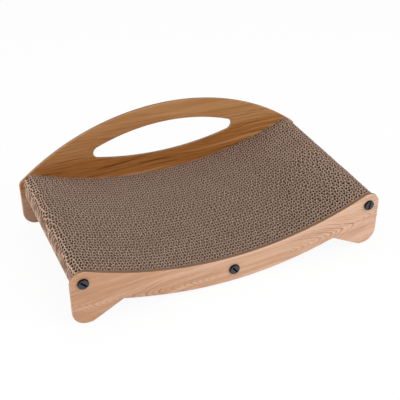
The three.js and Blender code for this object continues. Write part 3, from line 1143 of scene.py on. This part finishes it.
def seated_screw(sizes, node, facing, slot_angle):
    """A screw in its CAD node's place. Facing is -1 at the front and 1 at the rear."""
    low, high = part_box(node)
    mesh = screw_mesh(sizes, shank_length=high.y - low.y - sizes.head_height)
    cut_slot(mesh, sizes)
    smooth_rounds(mesh)
    for face in mesh.faces:
        face.material_index = screw_finish(face, sizes)
    seat = middle_of(node)
    seat.y = (high.y if facing > 0 else low.y) - facing * sizes.head_height
    upright = Matrix.Rotation(-facing * UP, 4, "X")
    turned = Matrix.Rotation(-slot_angle, 4, "Y")
    mesh.transform(Matrix.Translation(seat) @ turned @ upright)
    return mesh


class SCRATCHER_OT_screws(bpy.types.Operator):
    """Makes the black coin-slot screws of both panels"""

    bl_idname = "scratcher.screws"
    bl_label = "Screws"

    def execute(self, context):
        sizes = context.scene.scratcher_screws
        finish = context.scene.scratcher_finish
        plastics = (
            plastic_material("black plastic", finish.black, roughness=0.5, gloss=0.12),
            # The face's paler black is painted sheen
            plastic_material("black plastic with painted sheen", finish.screw_face_painted_sheen, roughness=0.55),
            # The slot reflects nothing, so it reads black: painted shade in the slot
            plastic_material("black plastic with painted slot shade", finish.black, roughness=0.9, gloss=0.0),
        )
        for panel, facing, turns in (("front", -1, sizes.front_angles), ("rear", 1, sizes.rear_angles)):
            for side, slot_angle in zip(SIDES, turns):
                node = f"{panel}_screw_{side}"
                mesh = seated_screw(sizes, node, facing, slot_angle)
                finish_piece(mesh, f"{panel}_coin_screw_{side}", plastics, node)
        return {"FINISHED"}


class SCRATCHER_OT_tubes(bpy.types.Operator):
    """Gives the tie tubes inside the block their plastic"""

    bl_idname = "scratcher.tubes"
    bl_label = "Tie Tubes"

    def execute(self, context):
        plastic = plastic_material("tube plastic", context.scene.scratcher_finish.tube, roughness=0.5)
        for name in TUBE_NODES:
            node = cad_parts[name]
            node.data.materials.clear()
            node.data.materials.append(plastic)
        return {"FINISHED"}


# Stage

def seen_directly(tree):
    """1 for what the camera sees, also mirrored or through glass, and 0 for light that falls on things."""
    path = tree.nodes.new("ShaderNodeLightPath").outputs
    share = maths(tree, "ADD", path["Is Camera Ray"], path["Is Glossy Ray"], clamp=True)
    return maths(tree, "ADD", share, path["Is Transmission Ray"], clamp=True)


# How the floor that is seen under the belly deepens, with the square of the distance from the middle
UNDER_BELLY = 1.2


def under_block(tree, place):
    """1 on the floor under the block, where little light comes, and 0 where it shows under the panels."""
    axes = put(tree, "ShaderNodeSeparateXYZ", {0: place}).outputs
    along = without_sign(tree, axes[0])
    in_depth = minus(tree, -FRONT_LOW.y, without_sign(tree, axes[1]))
    in_depth = minus(tree, in_depth, times(tree, times(tree, along, along), UNDER_BELLY))
    from_end = minus(tree, STRIP_END, along)
    return times(tree, span(tree, in_depth, low=0.0, high=0.002), span(tree, from_end, low=0.02, high=0.06))


def add_floor(settings):
    """A plain pale floor that keeps the object's shadow."""
    material, tree, shader, place = new_material("pale floor")
    feed(tree, shader, {"Base Color": settings.floor, "Roughness": 0.9, "Specular IOR Level": 0.0})
    glow = put(tree, "ShaderNodeEmission", {"Strength": 1.0})
    share = times(tree, seen_directly(tree), settings.floor_glow)
    share = times(tree, share, minus(tree, 1.0, under_block(tree, place)))
    mixed = put(tree, "ShaderNodeMixShader", {0: share, 1: shader.outputs[0], 2: glow.outputs[0]})
    output = next(node for node in tree.nodes if node.type == "OUTPUT_MATERIAL")
    feed(tree, output, {"Surface": mixed.outputs[0]})
    mesh = bmesh.new()
    bmesh.ops.create_grid(mesh, x_segments=1, y_segments=1, size=settings.floor_size / 2)
    mesh_object(mesh, "floor", (material,))


def add_world(settings):
    """Even light, with a white background for the camera."""
    world = bpy.data.worlds.new("studio")
    world.use_nodes = True
    tree = world.node_tree
    tree.nodes.clear()
    even = put(tree, "ShaderNodeBackground", {"Color": WHITE, "Strength": settings.ambient})
    white = put(tree, "ShaderNodeBackground", {"Color": WHITE, "Strength": 1.0})
    seen = seen_directly(tree)
    mixed = put(tree, "ShaderNodeMixShader", {0: seen, 1: even.outputs[0], 2: white.outputs[0]})
    put(tree, "ShaderNodeOutputWorld", {"Surface": mixed.outputs[0]})
    bpy.context.scene.world = world


class Softbox(NamedTuple):
    """A square soft light that faces the board. Its power is in watts."""

    name: str
    place: tuple
    side: float
    power: float


SOFTBOXES = (
    Softbox("key softbox", place=(1.1, -1.3, 1.1), side=1.2, power=17.5),
    Softbox("fill softbox", place=(-1.6, -0.1, 0.7), side=1.2, power=6.0),
    Softbox("top softbox", place=(0.0, 0.2, 1.7), side=1.4, power=12.5),
    Softbox("side softbox", place=(-1.7, 0.2, 0.09), side=0.18, power=25.0),
)


def add_softbox(box):
    """Hangs a softbox."""
    lamp = bpy.data.lights.new(box.name, "AREA")
    lamp.size = box.side
    lamp.energy = box.power
    light = add_object(box.name, lamp)
    light.location = box.place
    light.rotation_euler = (-Vector(box.place)).to_track_quat("-Z", "Y").to_euler()


def add_camera(settings):
    """The camera at the photograph's viewing angle."""
    data = bpy.data.cameras.new("camera")
    data.lens = settings.lens
    camera = add_object("camera", data)
    camera.location = settings.camera_place
    camera.rotation_euler = (UP - settings.camera_pitch, 0, settings.camera_turn)
    bpy.context.scene.camera = camera


class SCRATCHER_OT_stage(bpy.types.Operator):
    """Sets the floor, the lights and the camera"""

    bl_idname = "scratcher.stage"
    bl_label = "Stage"

    def execute(self, context):
        settings = context.scene.scratcher_stage
        add_floor(settings)
        add_world(settings)
        for box in SOFTBOXES:
            add_softbox(box)
        add_camera(settings)
        context.scene.view_settings.view_transform = "Standard"
        return {"FINISHED"}


class SCRATCHER_PT_sidebar(bpy.types.Panel):
    """Lists the board's pieces and settings"""

    bl_label = "Scratching Board"
    bl_idname = "SCRATCHER_PT_sidebar"
    bl_space_type = "VIEW_3D"
    bl_region_type = "UI"
    bl_category = "Scratching Board"

    def draw(self, context):
        for operator in OPERATORS:
            self.layout.operator(operator.bl_idname)
        for name, kind in SETTINGS.items():
            box = self.layout.box()
            for key in kind.__annotations__:
                box.prop(getattr(context.scene, name), key)


OPERATORS = (
    SCRATCHER_OT_stage,
    SCRATCHER_OT_front_panel,
    SCRATCHER_OT_rear_panel,
    SCRATCHER_OT_strips,
    SCRATCHER_OT_screws,
    SCRATCHER_OT_tubes,
)
SETTINGS = {
    "scratcher_panels": PanelSettings,
    "scratcher_strips": StripSettings,
    "scratcher_screws": ScrewSettings,
    "scratcher_finish": FinishSettings,
    "scratcher_stage": StageSettings,
}
CLASSES = (*SETTINGS.values(), *OPERATORS, SCRATCHER_PT_sidebar)


def register():
    """Adds the classes and the scene's settings."""
    for kind in CLASSES:
        bpy.utils.register_class(kind)
    for name, kind in SETTINGS.items():
        setattr(bpy.types.Scene, name, bpy.props.PointerProperty(type=kind))


def unregister():
    """Takes them away again."""
    for name in SETTINGS:
        delattr(bpy.types.Scene, name)
    for kind in CLASSES:
        bpy.utils.unregister_class(kind)


def main():
    """Makes the board, piece by piece."""
    register()
    bpy.ops.scratcher.stage()
    bpy.ops.scratcher.front_panel()
    bpy.ops.scratcher.rear_panel()
    bpy.ops.scratcher.strips()
    bpy.ops.scratcher.screws()
    bpy.ops.scratcher.tubes()


if __name__ == "__main__":
    main()
